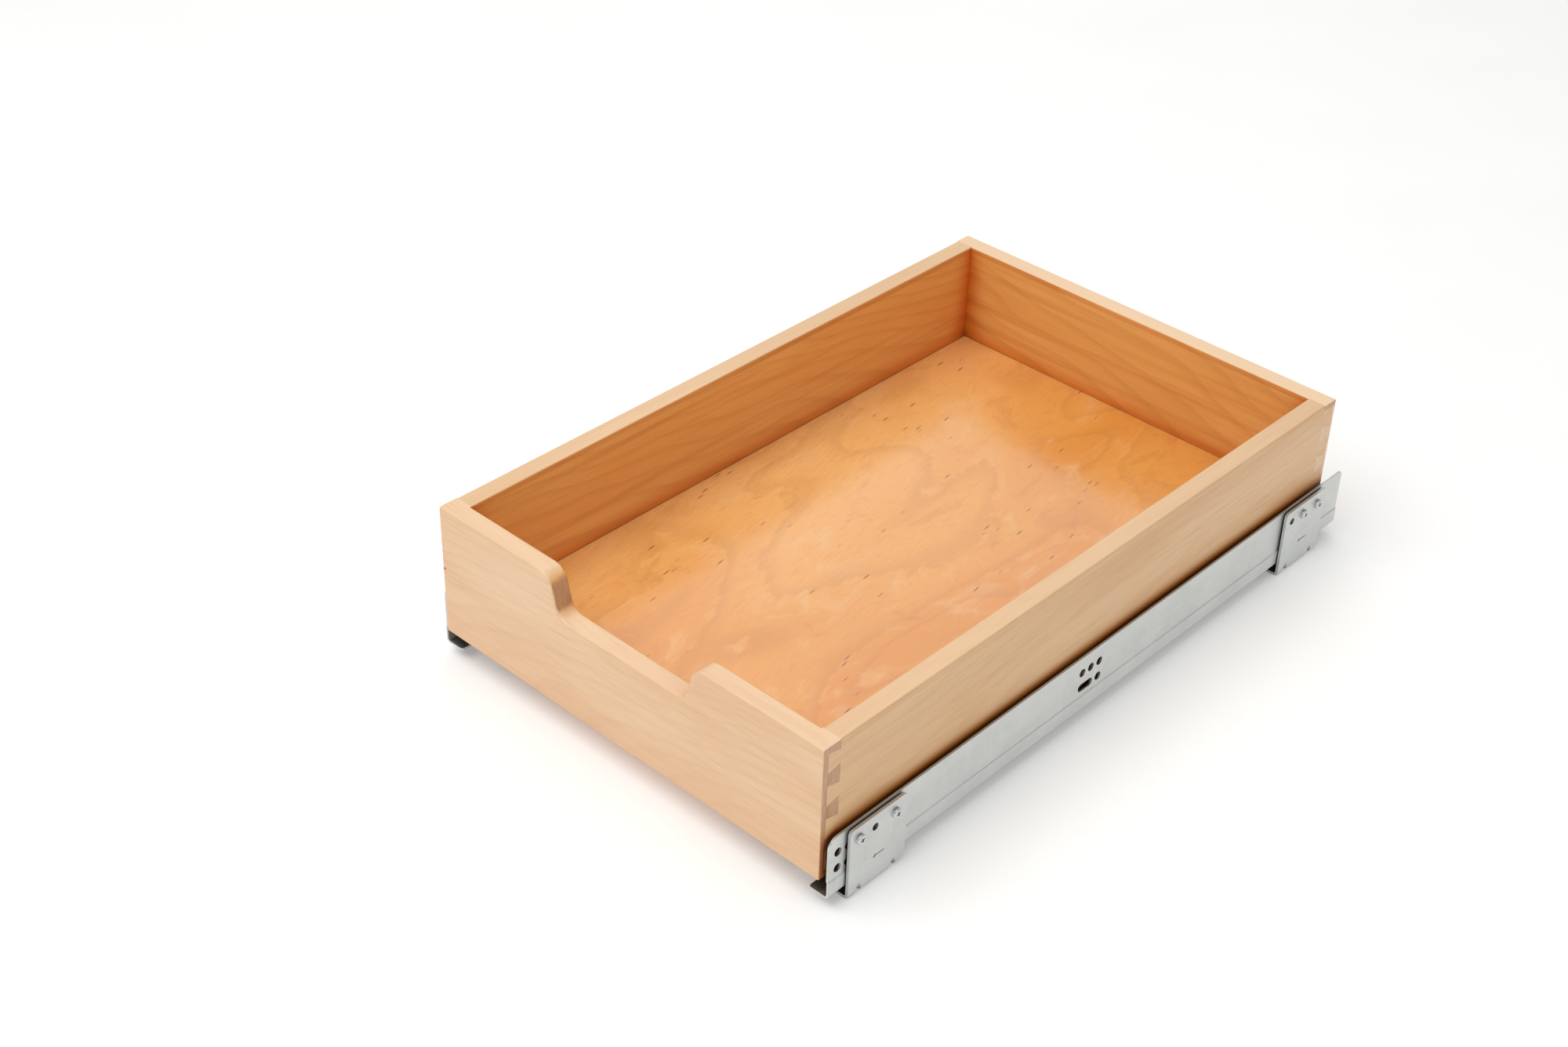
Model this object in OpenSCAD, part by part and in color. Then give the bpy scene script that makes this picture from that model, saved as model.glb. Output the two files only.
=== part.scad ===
// Pull-out drawer: a dovetailed wooden box with a scooped front, carried by a pair of concealed
// full-extension runners whose cabinet rails stand on four floor brackets.
// +X is right, +Y is towards the back, +Z is up. The origin is on the floor, under the centre
// of the whole footprint. Millimetres.

/* [Drawer box] */
// Width of the box over its sides
drawer_w = 337; // [300:1:600]
// Depth of the box, front face to back face
drawer_d = 533; // [520:1:545]
// Height of the box
drawer_h = 99.5; // [96:0.5:104]
// Thickness of the side boards
side_t = 14.3; // [13.5:0.1:15]
// Thickness of the front board
front_t = 15; // [14:0.5:16]
// Thickness of the back board
back_t = 14; // [13:0.5:15]
// Thickness of the plywood bottom
bottom_t = 6.4; // [5:0.1:8]
// Height of the recess under the bottom, where the runners fit
bottom_recess = 13.5; // [13.2:0.1:14.5]
// Radius of the eased top edges
edge_r = 1.2; // [0.5:0.1:2]
// Height of the solid strips glued on top of the sides and back
band_h = 4.5; // [3:0.1:4.6]

/* [Handhold] */
// Depth of the scoop below the top edge
scoop_depth = 29.5; // [20:0.5:36]
// Half width of the scoop where its walls would meet its floor
scoop_half_w = 55.8; // [40:0.1:70]
// Lean of the scoop's walls from upright, in degrees
scoop_lean = 15; // [8:1:25]
// Radius where the walls roll over into the top edge
scoop_top_r = 12; // [6:1:14]
// Radius where the walls run into the floor
scoop_low_r = 10; // [6:1:12]

/* [Dovetails] */
// Number of tails at each corner
tail_count = 4; // [3:1:5]
// Height of a tail at its wide end
tail_w = 15.6; // [14:0.1:16]
// Height of a tail at its neck
tail_neck = 10.6; // [9:0.1:12]
// Wood left over the tails by the half-blind joint
lap_t = 4.4; // [3.5:0.1:5]

/* [Cabinet rails] */
// Length of a rail
rail_l = 550; // [550:1:560]
// Height of a rail's wall
rail_h = 46; // [44:1:50]
// Sheet thickness of the rails
rail_t = 1.5; // [1.3:0.1:1.6]
// Gap between a side board and the upper part of the rail's wall
side_gap = 3.5; // [3:0.1:6]
// Distance of the rails' front ends behind the drawer's front face
rail_setback = 3; // [2:0.5:4]
// Height of the drawer's underside above the rail's underside
rail_drop = 14.4; // [14.2:0.1:15]
// Outward step of the wall below its crease
joggle = 0.6; // [0.4:0.1:0.8]
// Radius of the holes in the wall
rail_hole_r = 3.1; // [2.5:0.1:3.3]
// Pitch of the holes along the wall
rail_pitch = 9; // [8.5:0.1:9.5]
// Pitch of the hole rows up the wall
rail_row_pitch = 12.4; // [11:0.1:13]

/* [Brackets] */
// Length of a bracket
bracket_l = 51; // [48:1:54]
// Height of a bracket
bracket_h = 53.4; // [50:0.1:56]
// Sheet thickness of a bracket
bracket_t = 2; // [1.8:0.1:2.2]
// Gap between a bracket's plate and the rail's wall
bracket_gap = 1.4; // [1.2:0.1:1.6]
// Height of the rails' undersides above the floor
rail_lift = 8; // [7:0.5:10]
// Width of a bracket's foot
foot_w = 40; // [36:1:44]
// Spacing of the two floor screws in a foot
foot_pitch = 28; // [24:1:28]

/* [Runners] */
// Width of the tracks
track_w = 22; // [21.8:0.1:22.2]
// Height of the tracks
track_h = 12.4; // [12.2:0.1:12.6]
// Travel of the soft-close catch
catch_travel = 45; // [35:1:45]

/* [Hidden] */

LEFT = -1;
RIGHT = 1;
$fn = 48;

eps = 0.01;          // overshoot of a cut past a face
slip = 0.05;         // clearance in glued and running fits
pale_maple = "#eccfa8";
maple = "#dcb284";
plywood = "#e0984f";
zinc = "#bfc4c4";
bright_steel = "#d5d8d8";
dark_plastic = "#3b3d40";
grey_plastic = "#85898c";
orange_plastic = "#d9722b";
natural_plastic = "#e8e4d8";

// Places shared by the box and its runners
overall_d = rail_setback + rail_l;
front_y = -overall_d / 2;                 // drawer's front face
box_z = rail_lift + rail_drop;            // drawer's underside
rail_x = drawer_w / 2 + side_gap + rail_t + joggle;   // outer face of a rail's lower wall
inner_u = rail_x - drawer_w / 2 + side_t; // side board's inner face, inboard from rail_x
back_v = drawer_d - rail_setback;         // drawer's back face, behind the rails' front ends
front_v = front_t - rail_setback;         // front board's back face, likewise
recess_h = rail_drop + bottom_recess;     // bottom's underside above the rails' undersides
groove_depth = 6;                         // how far the bottom enters the boards

// Scoop, in X and Z about the middle of the front's top edge
wall_normal = [cos(scoop_lean), -sin(scoop_lean)];    // from the scoop's wall into the wood
top_half_w = scoop_half_w + scoop_depth * tan(scoop_lean);
low_centre = [scoop_half_w - scoop_low_r * tan(45 - scoop_lean / 2),
              scoop_low_r - scoop_depth];
top_centre = [top_half_w + scoop_top_r * tan(45 - scoop_lean / 2), -scoop_top_r];

// Dovetails
tail_pitch = drawer_h / tail_count;
tail_l = front_t - lap_t;
back_lap_t = back_t - tail_l;

// Cabinet rail
bend_r = 3;                               // outside radius of the sheet bends
crease_h = 13.2;                          // height of the crease in the wall
nose_w = 15.5;                            // width of the flange at its narrow front
nose_l = 14;                              // length of that narrow front
nose_r = 2;                               // its free front corner
nose_corner_r = 8;                        // wall's front top corner
low_row_h = 20.7;                         // lower row of holes
high_row_h = low_row_h + rail_row_pitch;  // upper row of holes
first_hole_v = 7.8;
middle_hole_v = 242.4;

// Brackets
bracket_front_v = 14.6;                   // front bracket behind the rail's front end
bracket_rear_v = 473.6;                   // rear bracket, likewise
bracket_u = joggle - bracket_gap - bracket_t;         // plate's outer face
foot_l = 43.5;
bracket_corner_r = 3.5;
bracket_holes = [8.2, 22.2, 40.2];        // holes along the plate
bracket_hole_h = 44.2 - rail_lift;        // their height above the rail's underside
bracket_hole_r = 2.65;
foot_hole_r = 2.5;
foot_hole_u = 31;
foot_hole_v = 9.5;
gusset_places = [9.5, 40.5];
gusset_w = 4.6;
gusset_h = 7.5;                           // where a dent starts, above the foot's underside
gusset_lean = 21;                         // angle between a dent's bottom and the plate
arrow_place = [21.5, 20.6];               // arrow's tip, along the plate and above the floor
screw_r = 2;
screw_reach = 6.4;                        // from under the head to the tip
boss_r = 4.2;

// Tracks, one above the other about the same centre line
track_u = inner_u + 2.2 + track_w / 2;    // centre line of the tracks
track_r = 1.5;                            // outside corners of a track
slot_w = 6;                               // slot between a track's lips
web_t = 2;
flange_w = 14;
flange_t = 1.5;
big_roller_r = 2;
small_roller_r = 1.85;
low_flange_h = rail_t + 2 * (big_roller_r + slip);    // underside of the middle rail
lip_h = track_h - rail_t;                 // underside of the cabinet track's lips
middle_h = recess_h - 2 * low_flange_h;   // height of the middle rail's section
middle_v = [20, 525];
drawer_rail_v = [front_v + 6, back_v + 1.8];
hook_h = 36.2;                            // rear hook's pin above the rail's underside
hook_pin_r = 2.5;
hook_hole_r = 3;
hook_hole_l = 7;

// Roller cages
roller_count = 8;
roller_pitch = 22;
cage_l = roller_count * roller_pitch;
lower_cage_v = 200;
upper_cage_v = 215;
big_roller_l = 12;
small_rollers_u = [2.9, flange_w / 2 - 0.4];   // ends of a short roller beside the web
cage_edge = flange_w / 2 + 0.6;                // inner face of a cage's cheek
cheek_t = 1.2;

// Soft-close unit, inboard of the track at its rear
ledge_u = track_u + track_w / 2;          // where the unit's ledge starts
ledge_w = 17;
ledge_v = [325, 530];
housing_v = [328, 527];
housing_w = 14;
housing_h = 12;
housing_t = 1.3;
housing_end_t = 3;
housing_u = ledge_u + 2;
catch_v = 380;                            // catch's front face when the drawer is closed
catch_l = 20;
tongue_w = 9;                             // drawer rail's tongue that enters the catch's fork
tongue_v = catch_v + 8;
cylinder_v = [430, housing_v[1] - housing_end_t];
cylinder_r = 3.2;
cylinder_bore_r = 2.35;
cylinder_end_t = 3;
damper_u = housing_u + 4.9;
damper_h = rail_t + 6.2;
rod_r = 1;
spring_u = housing_u + 10.3;
spring_r = 1.7;                           // of the coil's centre line
wire_r = 0.35;
spring_turns = 16;
spring_gap = 0.1;                         // room at each end of the coil
notch_u = [inner_u, ledge_u + ledge_w + 3];

// Front clips
clip_u = ledge_u + 1.5;
clip_w = 36;
clip_l = 56;
clip_t = 2.2;
clip_wall = 2.5;
clip_low_h = rail_drop + 1;
lever_u = clip_u + 18;
lever_v = front_v + 24;
lever_pin_r = 2.5;
lever_t = 3.5;
lever_h = recess_h - 8.2;
wheel_u = clip_u + 10;
wheel_v = front_v + 46;
wheel_pin_r = 2;
wheel_r = 7.5;
wheel_t = 4;
wheel_grips = 18;
clip_screw_r = 1.75;
clip_screw_reach = 11;
clip_screw_u = [clip_u + 6, clip_u + clip_w - 6];
clip_screw_h = 21;

// ---- helpers -------------------------------------------------------------------------------

// Runner coordinates: x is inboard from the rail's outer face, y is back from the rail's front
// end and z is up from the rail's underside, on either side of the drawer.
module on_side(side) {
    translate([side * rail_x, front_y + rail_setback, rail_lift])
        mirror([side > 0 ? 1 : 0, 0, 0])
            children();
}

// Box coordinates: y is back from the front face and z is up from the box's underside.
module in_box() {
    translate([0, front_y, box_z]) children();
}

// Extrudes a section drawn in X and Z along Y.
module along(from, to) {
    translate([0, to, 0]) rotate([90, 0, 0]) linear_extrude(to - from) children();
}

// Extrudes a section drawn in Y and Z along X.
module across(from, to) {
    translate([from, 0, 0]) rotate([90, 0, 90]) linear_extrude(to - from) children();
}

// A hole or shaft along X.
module rod_x(from, to, r) {
    translate([from, 0, 0]) rotate([0, 90, 0]) cylinder(h = to - from, r = r);
}

// A hole or shaft along Y.
module rod_y(from, to, r) {
    translate([0, to, 0]) rotate([90, 0, 0]) cylinder(h = to - from, r = r);
}

// Rectangle with round corners, from the origin.
module soft_square(size, r) {
    translate([r, 0]) square([size[0] - 2 * r, size[1]]);
    translate([0, r]) square([size[0], size[1] - 2 * r]);
    for (x = [r, size[0] - r], y = [r, size[1] - r]) translate([x, y]) circle(r);
}

// A board's cross-section: square below, eased edges on top.
module board_section(t) {
    square([t, drawer_h - edge_r]);
    translate([edge_r, 0]) square([t - 2 * edge_r, drawer_h]);
    for (x = [edge_r, t - edge_r]) translate([x, drawer_h - edge_r]) circle(edge_r);
}

// The solid strip at the top of such a section.
module band_section(t) {
    intersection() {
        board_section(t);
        translate([0, drawer_h - band_h]) square([t, band_h]);
    }
}

// ---- wooden box ----------------------------------------------------------------------------

// Outline of a row of tails in Y and Z, their wide ends at y = 0, grown by some clearance.
module tails(grow) {
    for (i = [0:tail_count - 1]) translate([0, (i + 0.5) * tail_pitch])
        polygon([[-grow, tail_w / 2 + grow], [-grow, -tail_w / 2 - grow],
                 [tail_l + eps, -tail_neck / 2 - grow], [tail_l + eps, tail_neck / 2 + grow]]);
}

// Space of the plywood bottom, with its glue clearance.
module bottom_space(grow) {
    w = drawer_w - 2 * side_t + 2 * groove_depth;
    d = drawer_d - front_t - back_t + 2 * groove_depth;
    translate([-w / 2 - grow, front_t - groove_depth - grow, bottom_recess - grow])
        cube([w + 2 * grow, d + 2 * grow, bottom_t + 2 * grow]);
}

// Right half of the scoop in X and Z about the middle of the top edge: floor, round, leaning
// wall and the round that rolls over into the top edge.
module half_scoop() {
    polygon([[-eps, -scoop_depth], [low_centre[0], -scoop_depth],
             low_centre + scoop_low_r * wall_normal, [top_half_w, 0],
             [top_half_w, edge_r], [-eps, edge_r]]);
    translate(low_centre) circle(scoop_low_r);
    difference() {
        polygon([top_centre - scoop_top_r * wall_normal, [top_centre[0], 0],
                 [top_centre[0], edge_r], [top_half_w - eps, edge_r], [top_half_w - eps, 0]]);
        translate(top_centre) circle(scoop_top_r);
    }
}

module drawer_front() color(pale_maple) in_box() difference() {
    across(-drawer_w / 2, drawer_w / 2) board_section(front_t);
    for (flip = [0, 1]) mirror([flip, 0, 0])
        along(-1, front_t + 1) translate([0, drawer_h]) half_scoop();
    for (x = [-drawer_w / 2 - eps, drawer_w / 2 - side_t - slip])
        across(x, x + side_t + slip + eps) translate([lap_t, 0]) tails(slip);
    bottom_space(slip);
    for (side = [LEFT, RIGHT]) box_to_runner(side) clip_pilots();
}

module drawer_back() color(pale_maple) in_box() difference() {
    translate([-drawer_w / 2, drawer_d - back_t, 0])
        cube([drawer_w, back_t, drawer_h - band_h]);
    for (x = [-drawer_w / 2 - eps, drawer_w / 2 - side_t - slip])
        across(x, x + side_t + slip + eps)
            translate([drawer_d - back_lap_t, 0]) mirror([1, 0]) tails(slip);
    bottom_space(slip);
    for (side = [LEFT, RIGHT]) box_to_runner(side) {
        runner_notch();
        translate([track_u, 0, hook_h]) rod_y(back_v - hook_hole_l, back_v + 1, hook_hole_r);
    }
}

// Draws runner coordinates from inside box coordinates.
module box_to_runner(side) {
    translate([0, -front_y, -box_z]) on_side(side) children();
}

// Opening under the bottom that lets the runner through the back board.
module runner_notch() {
    translate([notch_u[0], back_v - back_t - 1, rail_drop - 1])
        cube([notch_u[1] - notch_u[0], back_t + 2, bottom_recess + 1]);
}

// Pilot holes for the front clip's screws.
module clip_pilots() {
    for (u = clip_screw_u) translate([u, 0, clip_screw_h])
        rod_y(front_v - clip_screw_reach, front_v + 1, clip_screw_r + slip);
}

module drawer_side(side) color(maple) in_box() difference() {
    union() {
        mirror([side < 0 ? 1 : 0, 0, 0]) {
            translate([drawer_w / 2 - side_t, front_t, 0])
                cube([side_t, drawer_d - front_t - back_t, drawer_h - band_h]);
            across(drawer_w / 2 - side_t, drawer_w / 2) translate([lap_t, 0]) tails(0);
            across(drawer_w / 2 - side_t, drawer_w / 2)
                translate([drawer_d - back_lap_t, 0]) mirror([1, 0]) tails(0);
        }
    }
    bottom_space(slip);
}

module drawer_bottom() color(plywood) in_box() bottom_space(0);

module top_band_side(side) color(pale_maple) in_box() mirror([side < 0 ? 1 : 0, 0, 0])
    translate([drawer_w / 2 - side_t, 0, 0])
        along(front_t, drawer_d - back_t) band_section(side_t);

module top_band_back() color(pale_maple) in_box() translate([0, drawer_d - back_t, 0])
    across(-drawer_w / 2, drawer_w / 2) band_section(back_t);

// ---- cabinet rails and brackets --------------------------------------------------------------

// C-shaped track section, open between two lips at its top.
module track_section() {
    difference() {
        translate([-track_w / 2, 0]) soft_square([track_w, track_h], track_r);
        translate([rail_t - track_w / 2, rail_t])
            square([track_w - 2 * rail_t, track_h - 2 * rail_t]);
        translate([-slot_w / 2, rail_t]) square([slot_w, track_h]);
    }
}

// Wall, crease and bottom bend of the cabinet rail.
module wall_section() {
    step = joggle / 2;
    polygon([[0, bend_r], [0, crease_h - step], [joggle, crease_h + step], [joggle, rail_h],
             [joggle + rail_t, rail_h], [joggle + rail_t, crease_h + step],
             [rail_t, crease_h - step], [rail_t, bend_r]]);
    bend_section(rail_t);
}

// Quarter-round bend from a wall at x = 0 into a flange at z = 0.
module bend_section(t) {
    intersection() {
        square(bend_r);
        translate([bend_r, bend_r]) difference() {
            circle(bend_r);
            circle(bend_r - t);
        }
    }
}

// Wall's side view: a big round at its front top corner and small ones behind.
module wall_outline() {
    intersection() {
        translate([0, -nose_corner_r]) soft_square([2 * rail_l, rail_h + nose_corner_r],
                                                   nose_corner_r);
        translate([-rail_l, -bend_r]) soft_square([2 * rail_l, rail_h + bend_r], bend_r);
    }
}

// Fixing holes through the wall: four at the front, five and a slot at the middle.
module wall_holes() {
    rows = [low_row_h, high_row_h];
    for (v = [first_hole_v, first_hole_v + rail_pitch], h = rows)
        translate([0, v, h]) rod_x(-1, bend_r, rail_hole_r);
    for (i = [0:2])
        translate([0, middle_hole_v + i * rail_pitch, high_row_h]) rod_x(-1, bend_r, rail_hole_r);
    translate([0, middle_hole_v + 2 * rail_pitch, low_row_h]) rod_x(-1, bend_r, rail_hole_r);
    translate([0, middle_hole_v - rail_hole_r, low_row_h - rail_hole_r])
        across(-1, bend_r)
            soft_square([rail_pitch + 2 * rail_hole_r, 2 * rail_hole_r], rail_hole_r - eps);
}

// Holes of one bracket that its screws fill, as places along the rail.
function front_screws() = [for (i = [0, 2]) bracket_front_v + bracket_holes[i]];
function rear_screws() = [for (i = [1, 2]) bracket_rear_v + bracket_holes[i]];
function screw_places() = concat(front_screws(), rear_screws());

// Narrow flange along the whole rail, with its free front corner rounded.
module nose_plan() {
    translate([bend_r, 0]) difference() {
        square([nose_w - bend_r, rail_l]);
        translate([nose_w - bend_r - nose_r, 0]) difference() {
            translate([0, -eps]) square([nose_r + eps, nose_r + eps]);
            translate([0, nose_r]) circle(nose_r);
        }
    }
}

module cabinet_rail(side) color(zinc) on_side(side) difference() {
    union() {
        intersection() {
            along(0, rail_l) wall_section();
            across(-1, bend_r + 1) wall_outline();
        }
        linear_extrude(rail_t) nose_plan();
        translate([nose_w - eps, nose_l, 0])
            cube([track_u - nose_w, rail_l - nose_l, rail_t]);
        along(nose_l, rail_l) translate([track_u, 0]) track_section();
        translate([ledge_u - 2 * track_r, ledge_v[0], 0])
            linear_extrude(rail_t)
                soft_square([ledge_w + 2 * track_r, ledge_v[1] - ledge_v[0]], track_r);
        for (v = screw_places()) translate([0, v, bracket_hole_h])
            rod_x(joggle - bracket_gap, joggle + eps, boss_r);
    }
    wall_holes();
    for (v = screw_places()) translate([0, v, bracket_hole_h])
        rod_x(-bend_r, bend_r, screw_r + slip);
}

// Bracket's L section: plate outside, foot along the floor.
module bracket_section() {
    translate([bracket_u, -rail_lift]) {
        translate([0, bend_r]) square([bracket_t, bracket_h - bend_r]);
        bend_section(bracket_t);
        translate([bend_r, 0]) square([foot_w - bend_r, bracket_t]);
    }
}

// Plate's side view: round corners on top and behind, and a straight edge down to the foot.
module bracket_outline() {
    translate([0, bracket_corner_r - rail_lift])
        soft_square([bracket_l, bracket_h - bracket_corner_r], bracket_corner_r);
    translate([0, -rail_lift]) square([foot_l, 4 * bracket_corner_r]);
}

// Two rods that lean out of the bracket's corner, one into the plate and one into the foot.
module gusset_rods(r) {
    reach = gusset_h / cos(gusset_lean);
    for (swap = [0, 1]) mirror([swap, 0, -swap])
        translate([0, 0, gusset_h]) rotate([0, 180 - gusset_lean, 0])
            translate([gusset_w / 2, 0, -1]) cylinder(h = reach + 1, r = r);
}

// Pressed corner rib: the dent outside the bend, and the web that it raises inside.
module gusset_dent() {
    translate([bracket_u, 0, -rail_lift]) gusset_rods(gusset_w / 2);
}

module gusset_web() {
    inside = bracket_t - eps;
    translate([bracket_u, 0, -rail_lift]) intersection() {
        gusset_rods(gusset_w / 2 + bracket_t);
        translate([inside, -gusset_w, inside]) cube([2 * gusset_h, 2 * gusset_w, 2 * gusset_h]);
    }
}

// Arrow pressed into the plate, pointing to the front.
module arrow_mark() {
    shaft_l = 10;
    barb_l = 3;
    barb_turn = 32;
    line_w = 0.8;
    depth = 0.4;
    translate([bracket_u - 1, arrow_place[0], arrow_place[1] - rail_lift])
        rotate([90, 0, 90]) linear_extrude(1 + depth) {
            translate([0, -line_w / 2]) square([shaft_l, line_w]);
            for (turn = [-barb_turn, barb_turn])
                rotate(turn) translate([-line_w / 2, -line_w / 2]) square([barb_l, line_w]);
        }
}

module bracket(side, v) color(zinc) on_side(side) translate([0, v, 0]) difference() {
    union() {
        intersection() {
            along(0, bracket_l) bracket_section();
            union() {
                across(bracket_u - 1, bracket_u + bracket_t + eps) bracket_outline();
                translate([bracket_u + bracket_t, 0, -rail_lift])
                    linear_extrude(bend_r) soft_square([foot_w - bracket_t, foot_l], eps);
            }
        }
        for (place = gusset_places) translate([0, place, 0]) gusset_web();
    }
    for (place = gusset_places) translate([0, place, 0]) gusset_dent();
    for (place = bracket_holes) translate([0, place, bracket_hole_h])
        rod_x(bracket_u - 1, bracket_u + bracket_t + 1, bracket_hole_r);
    for (place = [foot_hole_v, foot_hole_v + foot_pitch])
        translate([bracket_u + foot_hole_u, place, -rail_lift - 1])
            cylinder(h = bracket_t + 2, r = foot_hole_r);
    arrow_mark();
}

// Pan-head screw with a cross recess, its shank along +X from under the head.
module pan_screw(r, reach) {
    head_r = 1.75 * r;
    head_h = 1.3 * r;
    round_r = head_h / 2;
    cross_l = head_r;
    cross_w = 0.9;
    cross_h = head_h / 3;
    cross_turn = 20;
    rotate([0, 90, 0]) {
        cylinder(h = reach, r = r);
        mirror([0, 0, 1]) difference() {
            rotate_extrude() intersection() {
                translate([-head_r, -head_h]) soft_square([2 * head_r, 2 * head_h], round_r);
                square([head_r, head_h]);
            }
            for (turn = [cross_turn, cross_turn + 90]) rotate([0, 0, turn])
                translate([-cross_l / 2, -cross_w / 2, head_h - cross_h])
                    cube([cross_l, cross_w, head_h]);
        }
    }
}

module bracket_screws(side) color(bright_steel) on_side(side)
    for (v = screw_places())
        translate([bracket_u, v, bracket_hole_h]) pan_screw(screw_r, screw_reach);

// ---- moving rails and their roller cages ---------------------------------------------------

module middle_rail(side) color(zinc) on_side(side) translate([track_u, 0, low_flange_h])
    along(middle_v[0], middle_v[1]) {
        for (h = [0, middle_h - flange_t])
            translate([-flange_w / 2, h]) square([flange_w, flange_t]);
        translate([-web_t / 2, 0]) square([web_t, middle_h]);
    }

module drawer_rail(side) color(zinc) on_side(side) {
    along(drawer_rail_v[0], drawer_rail_v[1])
        translate([track_u, recess_h]) mirror([0, 1]) track_section();
    rear_hook();
    driver();
}

// Tab behind the back board, with the pin that enters its hole.
module rear_hook() {
    tab_w = 12;
    tab_gap = 0.3;
    tab_h = hook_h + hook_pin_r + 1.5 - recess_h + rail_t;
    translate([track_u - tab_w / 2, back_v + tab_gap, recess_h - rail_t])
        cube([tab_w, rail_t, tab_h]);
    translate([track_u, 0, hook_h])
        rod_y(back_v - hook_hole_l + 1, back_v + tab_gap + eps, hook_pin_r);
}

// Tongue that takes the soft-close catch along at the end of the travel.
module driver() {
    tongue_l = 3.5;
    tongue_h = 8;
    lips_clear = 0.6;
    translate([ledge_u - rail_t, tongue_v, recess_h - track_h + lips_clear])
        cube([tongue_w, tongue_l, tongue_h]);
}

// One layer of a cage, with a pocket round each roller.
module cage_plate(from_u, to_u, low, t, roller_r, roller_from, roller_to) {
    side_room = 0.3;
    difference() {
        translate([from_u, 0, low]) cube([to_u - from_u, cage_l, t]);
        for (i = [0:roller_count - 1])
            translate([roller_from - side_room, (i + 0.5) * roller_pitch - roller_r - slip,
                       low - 1])
                cube([roller_to - roller_from + 2 * side_room, 2 * (roller_r + slip), t + 2]);
    }
}

// Cage in the cabinet track, wrapped round the middle rail's lower flange.
module cage(colour) color(colour) {
    track_clear = 0.6;
    flange_clear = 0.8;
    web_clear = 0.9;
    low_plate_t = 2.8;
    high_plate_t = 2.2;
    low_plate_h = rail_t + track_clear;
    high_plate_h = low_flange_h + flange_t + flange_clear;
    cage_plate(-cage_edge, cage_edge, low_plate_h, low_plate_t, big_roller_r,
               -big_roller_l / 2, big_roller_l / 2);
    for (flip = [0, 1]) mirror([flip, 0, 0]) {
        translate([cage_edge - eps, 0, low_plate_h])
            cube([cheek_t, cage_l, high_plate_h + high_plate_t - low_plate_h]);
        cage_plate(small_rollers_u[0] - web_clear, cage_edge, high_plate_h, high_plate_t,
                   small_roller_r, small_rollers_u[0], small_rollers_u[1]);
    }
}

// Rollers below the flange, and shorter ones above it on each side of the web.
module rollers() color(bright_steel)
    for (i = [0:roller_count - 1]) translate([0, (i + 0.5) * roller_pitch, 0]) {
        translate([0, 0, rail_t + slip + big_roller_r])
            rod_x(-big_roller_l / 2, big_roller_l / 2, big_roller_r);
        for (flip = [0, 1]) mirror([flip, 0, 0])
            translate([0, 0, (low_flange_h + flange_t + lip_h) / 2])
                rod_x(small_rollers_u[0], small_rollers_u[1], small_roller_r);
    }

module in_lower_track(side) on_side(side) translate([track_u, lower_cage_v, 0]) children();

// The upper track is the lower one turned upside down under the drawer's bottom.
module in_upper_track(side) on_side(side)
    translate([track_u, upper_cage_v, recess_h]) mirror([0, 0, 1]) children();

// ---- front clips -----------------------------------------------------------------------------

// Clip's body: a plate under the bottom, a flange on the front board and two pivot posts.
module clip_body(side) color(dark_plastic) on_side(side) difference() {
    union() {
        translate([clip_u, front_v, recess_h - clip_t])
            linear_extrude(clip_t) soft_square([clip_w, clip_l], 4);
        translate([clip_u, front_v, clip_low_h])
            cube([clip_w, clip_wall, recess_h - clip_low_h]);
        for (u = [clip_u, clip_u + clip_w - clip_wall])
            translate([u, front_v, clip_low_h]) clip_rib();
        post(lever_u, lever_v, lever_pin_r, lever_h);
        post(wheel_u, wheel_v, wheel_pin_r, lever_h);
    }
    for (u = clip_screw_u) translate([u, 0, clip_screw_h])
        rod_y(front_v - 1, front_v + clip_wall + 1, clip_screw_r + slip);
}

// Triangular rib between the clip's flange and its plate.
module clip_rib() {
    rib_l = 14;
    top = recess_h - clip_low_h;
    across(0, clip_wall) polygon([[0, 0], [0, top], [rib_l, top]]);
}

module post(u, v, r, low) {
    translate([u, v, low - 1]) cylinder(h = recess_h - clip_t - low + 1 + eps, r = r);
}

// Squeeze lever: a nose towards the rail and a finger pad towards the middle.
module release_lever(side) color(orange_plastic) on_side(side) {
    hub_r = 6;
    nose = [18, 6];
    arm = [34, 8];
    pad = [8, 16];
    pad_drop = 1.5;
    translate([lever_u, lever_v, lever_h]) difference() {
        union() {
            cylinder(h = lever_t, r = hub_r);
            translate([2 - nose[0], -nose[1] / 2, 0])
                linear_extrude(lever_t) soft_square(nose, 1.5);
            translate([0, -arm[1] / 2, 0]) linear_extrude(lever_t) soft_square(arm, 2.5);
            translate([arm[0] - pad[0] / 2, -pad[1] / 2, -pad_drop])
                linear_extrude(lever_t + pad_drop) soft_square(pad, 3);
        }
        translate([0, 0, -2]) cylinder(h = lever_t + 3, r = lever_pin_r + slip);
    }
}

// Height-adjusting wheel with finger grips round its rim.
module height_wheel(side) color(grey_plastic) on_side(side) {
    grip_r = 0.9;
    grip_place = wheel_r + 0.3;
    translate([wheel_u, wheel_v, lever_h]) difference() {
        cylinder(h = wheel_t, r = wheel_r);
        translate([0, 0, -1]) cylinder(h = wheel_t + 2, r = wheel_pin_r + slip);
        for (i = [0:wheel_grips - 1]) rotate([0, 0, i * 360 / wheel_grips])
            translate([grip_place, 0, -1]) cylinder(h = wheel_t + 2, r = grip_r, $fn = 16);
    }
}

module clip_screws(side) color(bright_steel) on_side(side) {
    tip_gap = 0.5;
    for (u = clip_screw_u) translate([u, front_v + clip_wall, clip_screw_h])
        rotate([0, 0, -90]) pan_screw(clip_screw_r, clip_screw_reach + clip_wall - tip_gap);
}

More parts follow.
